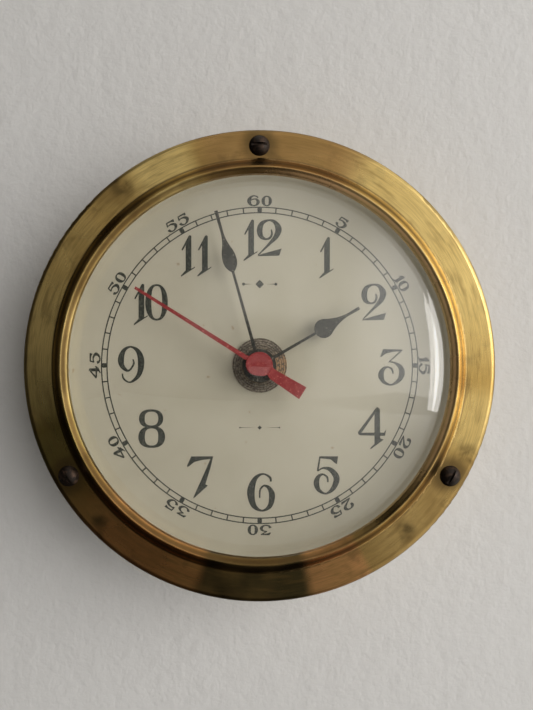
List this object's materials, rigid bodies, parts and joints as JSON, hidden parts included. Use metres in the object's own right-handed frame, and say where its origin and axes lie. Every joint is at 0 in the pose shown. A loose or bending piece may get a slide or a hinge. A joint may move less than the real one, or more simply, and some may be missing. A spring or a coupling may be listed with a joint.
{
  "type": "ships deck clock",
  "caption": "Round brass ship's clock for a bulkhead: spun drum, screwed bezel ring, domed crystal, cream dial with ornate numerals, black hands, red second hand, battery movement.",
  "frame": {"origin": "centre of the back face, which lies against the bulkhead", "axes": "+Z towards twelve o'clock, the dial faces -Y, +X towards three o'clock"},
  "size_m": [0.127, 0.0405, 0.127],
  "materials": {
    "case_brass": "spun brass, dulled and stained",
    "bezel_brass": "polished brass with patches of brown tarnish",
    "plain_brass": "turned brass",
    "washer_brass": "circularly brushed brass gone brown and coppery",
    "screw_bronze": "brass gone nearly black with age",
    "crystal_glass": "clear polished dome",
    "gasket_rubber": "black rubber",
    "reveal_paint": "satin off-white paint",
    "dial_paint": "satin cream paint with dark grey printing",
    "housing_plastic": "moulded black plastic",
    "wheel_plastic": "natural acetal",
    "knob_plastic": "moulded grey-black plastic",
    "steel": "bright steel",
    "copper_wire": "enamelled copper wire",
    "board_green": "green solder resist",
    "chip_black": "black epoxy",
    "can_tin": "bright tin plate",
    "cell_wrap": "plain printed wrap with a bare steel button",
    "magnet_grey": "dull grey magnet",
    "hand_black": "matte black paint with a dusting of specks",
    "hand_red": "matte red paint"
  },
  "bodies": {
    "case": {"case_drum": "case_brass", "screw_bushes": "plain_brass", "bezel_ring": "bezel_brass", "bezel_screws": "screw_bronze", "crystal": "crystal_glass", "crystal_gasket": "gasket_rubber", "crystal_retaining_ring": "plain_brass", "reveal_ring": "reveal_paint", "dial_support_ring": "plain_brass", "dial_plate": "dial_paint", "centre_washer": "washer_brass", "rubber_washer": "gasket_rubber", "dial_nut": "plain_brass", "threaded_bush": "plain_brass", "movement_housing": "housing_plastic", "movement_rear_cover": "housing_plastic", "cover_screws": "steel", "stator": "steel", "coil_core": "steel", "coil_bobbin": "wheel_plastic", "coil_winding": "copper_wire", "circuit_board": "board_green", "timing_chip": "chip_black", "quartz_can": "can_tin", "positive_contact": "can_tin", "negative_contact": "can_tin"},
    "battery": {"battery_cell": "cell_wrap"},
    "rotor": {"rotor_pinion": "wheel_plastic", "rotor_magnet": "magnet_grey", "rotor_arbor": "steel"},
    "intermediate": {"intermediate_wheel": "wheel_plastic", "intermediate_arbor": "steel"},
    "seconds": {"seconds_wheel": "wheel_plastic", "seconds_arbor": "steel", "second_hand": "hand_red"},
    "third": {"third_wheel": "wheel_plastic", "third_arbor": "steel"},
    "centre": {"centre_wheel": "wheel_plastic"},
    "minutes": {"minute_pipe": "plain_brass", "clutch_spring": "plain_brass", "minute_hand": "hand_black"},
    "motion": {"motion_wheel": "wheel_plastic", "motion_arbor": "steel"},
    "hours": {"hour_wheel": "wheel_plastic", "hour_hand": "hand_black"},
    "knob": {"setting_knob": "knob_plastic"}
  },
  "joints": [
    {"name": "minute_hand_turn", "type": "hinge", "parent": "case", "child": "minutes", "pos_m": [0, -0.028, 0], "axis": [0, 1, 0], "continuous": true},
    {"name": "hour_hand_turn", "type": "hinge", "parent": "case", "child": "hours", "pos_m": [0, -0.026, 0], "axis": [0, 1, 0], "continuous": true},
    {"name": "second_hand_turn", "type": "hinge", "parent": "case", "child": "seconds", "pos_m": [0, -0.03, 0], "axis": [0, 1, 0], "continuous": true},
    {"name": "third_wheel_turn", "type": "hinge", "parent": "case", "child": "third", "pos_m": [0.00821, -0.014, -0.0022], "axis": [0, 1, 0], "continuous": true},
    {"name": "intermediate_wheel_turn", "type": "hinge", "parent": "case", "child": "intermediate", "pos_m": [0.0042, -0.01, 0.00727], "axis": [0, 1, 0], "continuous": true},
    {"name": "rotor_turn", "type": "hinge", "parent": "case", "child": "rotor", "pos_m": [0.01097, -0.012, 0.00974], "axis": [0, 1, 0], "continuous": true},
    {"name": "centre_wheel_turn", "type": "hinge", "parent": "case", "child": "centre", "pos_m": [0, -0.0156, 0], "axis": [0, 1, 0], "continuous": true},
    {"name": "motion_wheel_turn", "type": "hinge", "parent": "case", "child": "motion", "pos_m": [-0.00727, -0.017, 0.0042], "axis": [0, 1, 0], "continuous": true},
    {"name": "setting_knob_turn", "type": "hinge", "parent": "case", "child": "knob", "pos_m": [-0.01147, -0.004, 0.01147], "axis": [0, 1, 0], "continuous": true},
    {"name": "battery_slide", "type": "slide", "parent": "case", "child": "battery", "axis": [0, 1, 0], "range_m": [0, 0.022]}
  ],
  "couplings": [
    {"joint": "hour_hand_turn", "follows": "minute_hand_turn", "ratio": 0.083333},
    {"joint": "motion_wheel_turn", "follows": "minute_hand_turn", "ratio": -0.33333},
    {"joint": "setting_knob_turn", "follows": "minute_hand_turn", "ratio": 1},
    {"joint": "rotor_turn", "follows": "second_hand_turn", "ratio": 30},
    {"joint": "intermediate_wheel_turn", "follows": "second_hand_turn", "ratio": -6},
    {"joint": "third_wheel_turn", "follows": "second_hand_turn", "ratio": -0.13333},
    {"joint": "centre_wheel_turn", "follows": "second_hand_turn", "ratio": 0.016667}
  ]
}
